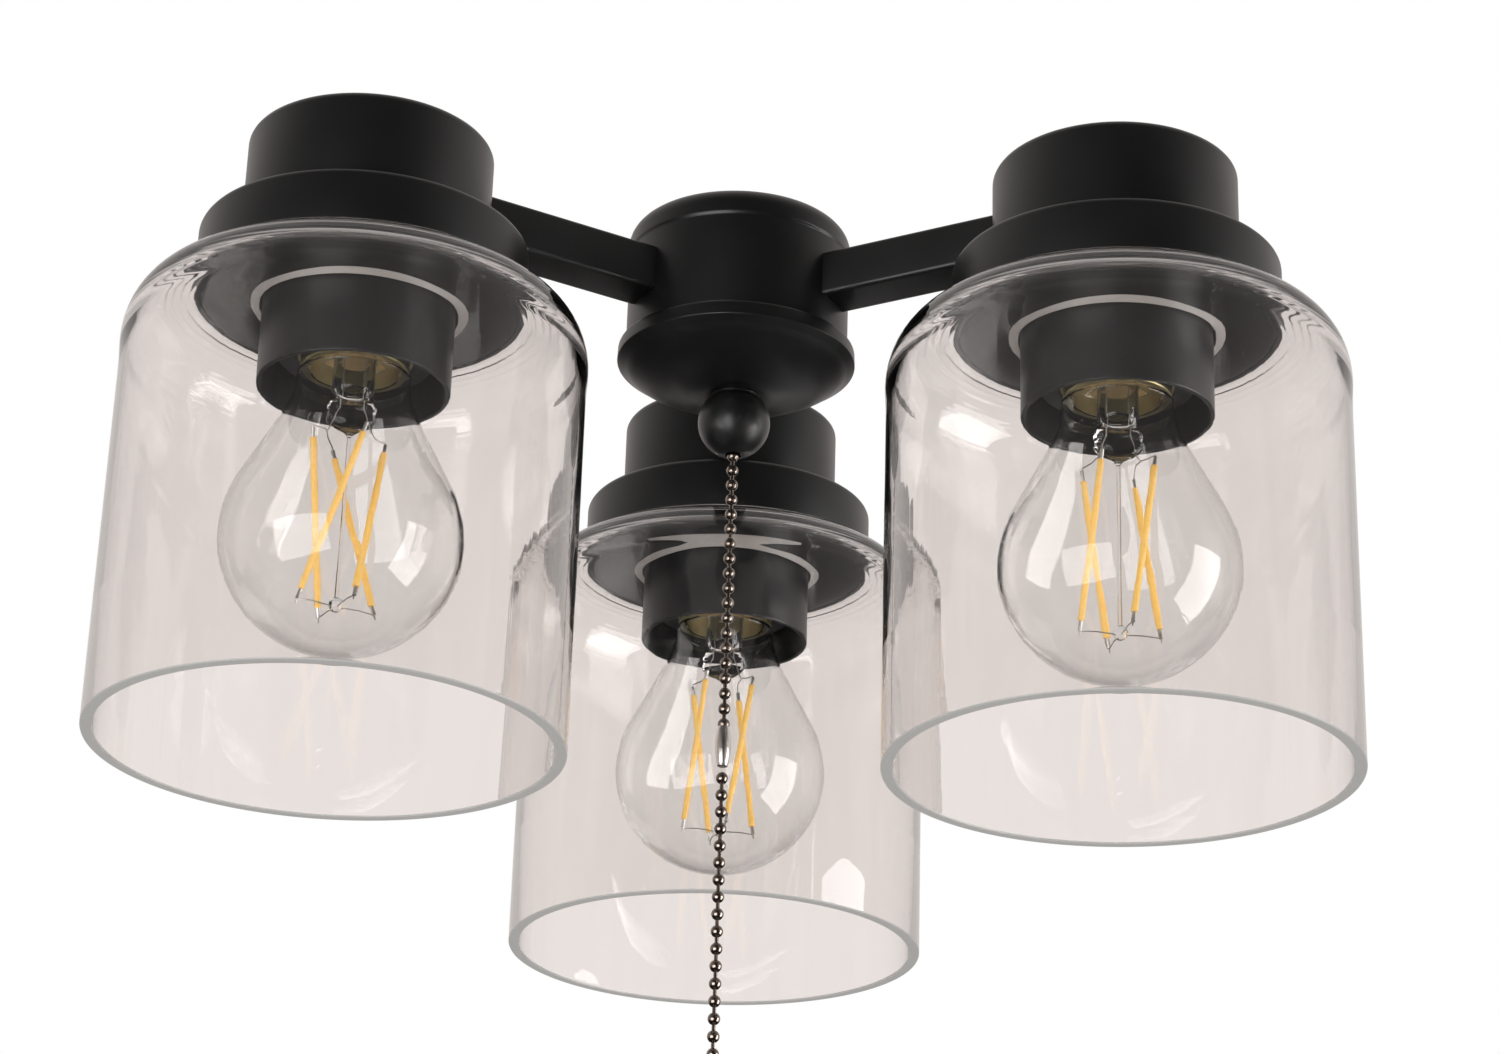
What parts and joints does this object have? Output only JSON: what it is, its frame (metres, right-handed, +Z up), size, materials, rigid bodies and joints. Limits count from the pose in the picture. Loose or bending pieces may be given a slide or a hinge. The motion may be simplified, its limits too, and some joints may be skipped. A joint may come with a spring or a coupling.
{
  "type": "ceiling fan light kit",
  "caption": "Light kit that hangs under a ceiling fan: round hub, square arms, clear cylinder glass shades over filament bulbs, and a pull chain that leaves through a ball.",
  "frame": {"origin": "on the hub's axis, in the plane of the hub's top face, where the kit closes against the fan", "axes": "+Z up along the hub's axis; -Y towards the viewer in the picture, +Y along the rear arm, +X to the right"},
  "size_m": [0.306, 0.2806, 0.3297],
  "materials": {
    "black_metal": "satin black powder coat",
    "shade_glass": "clear, polished, ground rim",
    "bulb_glass": "clear, thin",
    "filament": "amber phosphor coating, unlit",
    "brass": "plain",
    "steel": "zinc plated",
    "nickel": "bright nickel plate",
    "chain_bronze": "dark bronze plate, shiny",
    "phenolic": "moulded, matt",
    "nylon": "moulded",
    "insulation": "wire insulation"
  },
  "bodies": {
    "kit": {"hub_housing": "black_metal", "bottom_bowl": "black_metal", "ball_finial": "black_metal", "fan_nipple": "steel", "nipple_washer": "steel", "nipple_nut": "steel", "cross_bar": "steel", "switch_body": "phenolic", "switch_bushing": "brass", "bushing_nut": "steel", "arm_left": "black_metal", "lamp_cap_left": "black_metal", "lamp_flange_left": "black_metal", "lamp_nipple_left": "steel", "lamp_lead_left": "insulation", "socket_body_left": "phenolic", "socket_shell_left": "brass", "socket_contact_left": "brass", "shade_plate_left": "black_metal", "glass_shade_left": "shade_glass", "arm_right": "black_metal", "lamp_cap_right": "black_metal", "lamp_flange_right": "black_metal", "lamp_nipple_right": "steel", "lamp_lead_right": "insulation", "socket_body_right": "phenolic", "socket_shell_right": "brass", "socket_contact_right": "brass", "shade_plate_right": "black_metal", "glass_shade_right": "shade_glass", "arm_rear": "black_metal", "lamp_cap_rear": "black_metal", "lamp_flange_rear": "black_metal", "lamp_nipple_rear": "steel", "lamp_lead_rear": "insulation", "socket_body_rear": "phenolic", "socket_shell_rear": "brass", "socket_contact_rear": "brass", "shade_plate_rear": "black_metal", "glass_shade_rear": "shade_glass"},
    "pull_chain": {"pull_chain_upper": "chain_bronze", "chain_coupling": "nickel", "pull_chain_lower": "chain_bronze", "chain_end_bell": "chain_bronze"},
    "ratchet": {"switch_ratchet": "nylon"},
    "bulb_left": {"bulb_base_left": "brass", "bulb_globe_left": "bulb_glass", "bulb_stem_left": "bulb_glass", "bulb_filaments_left": "filament"},
    "bulb_right": {"bulb_base_right": "brass", "bulb_globe_right": "bulb_glass", "bulb_stem_right": "bulb_glass", "bulb_filaments_right": "filament"},
    "bulb_rear": {"bulb_base_rear": "brass", "bulb_globe_rear": "bulb_glass", "bulb_stem_rear": "bulb_glass", "bulb_filaments_rear": "filament"},
    "sleeve_left": {"shade_sleeve_left": "black_metal"},
    "sleeve_right": {"shade_sleeve_right": "black_metal"},
    "sleeve_rear": {"shade_sleeve_rear": "black_metal"}
  },
  "joints": [
    {"name": "chain_pull", "type": "slide", "parent": "kit", "child": "pull_chain", "axis": [0, 0, -1], "range_m": [0, 0.008], "stiffness_N_per_m": 400, "springref_m": -0.01},
    {"name": "ratchet_turn", "type": "hinge", "parent": "kit", "child": "ratchet", "pos_m": [-0.0059, 0, -0.0227], "axis": [0, 1, 0], "range_deg": [0, 115]},
    {"name": "bulb_left_unscrew", "type": "hinge", "parent": "kit", "child": "bulb_left", "pos_m": [-0.09526, -0.055, -0.07], "axis": [0, 0, -1], "range_deg": [0, 1350]},
    {"name": "bulb_right_unscrew", "type": "hinge", "parent": "kit", "child": "bulb_right", "pos_m": [0.09526, -0.055, -0.07], "axis": [0, 0, -1], "range_deg": [0, 1350]},
    {"name": "bulb_rear_unscrew", "type": "hinge", "parent": "kit", "child": "bulb_rear", "pos_m": [0, 0.11, -0.07], "axis": [0, 0, -1], "range_deg": [0, 1350]},
    {"name": "sleeve_left_unscrew", "type": "hinge", "parent": "kit", "child": "sleeve_left", "pos_m": [-0.09526, -0.055, -0.06], "axis": [0, 0, -1], "range_deg": [0, 1260]},
    {"name": "sleeve_right_unscrew", "type": "hinge", "parent": "kit", "child": "sleeve_right", "pos_m": [0.09526, -0.055, -0.06], "axis": [0, 0, -1], "range_deg": [0, 1260]},
    {"name": "sleeve_rear_unscrew", "type": "hinge", "parent": "kit", "child": "sleeve_rear", "pos_m": [0, 0.11, -0.06], "axis": [0, 0, -1], "range_deg": [0, 1260]}
  ],
  "couplings": [
    {"joint": "ratchet_turn", "follows": "chain_pull", "rad_per_m": 250}
  ]
}
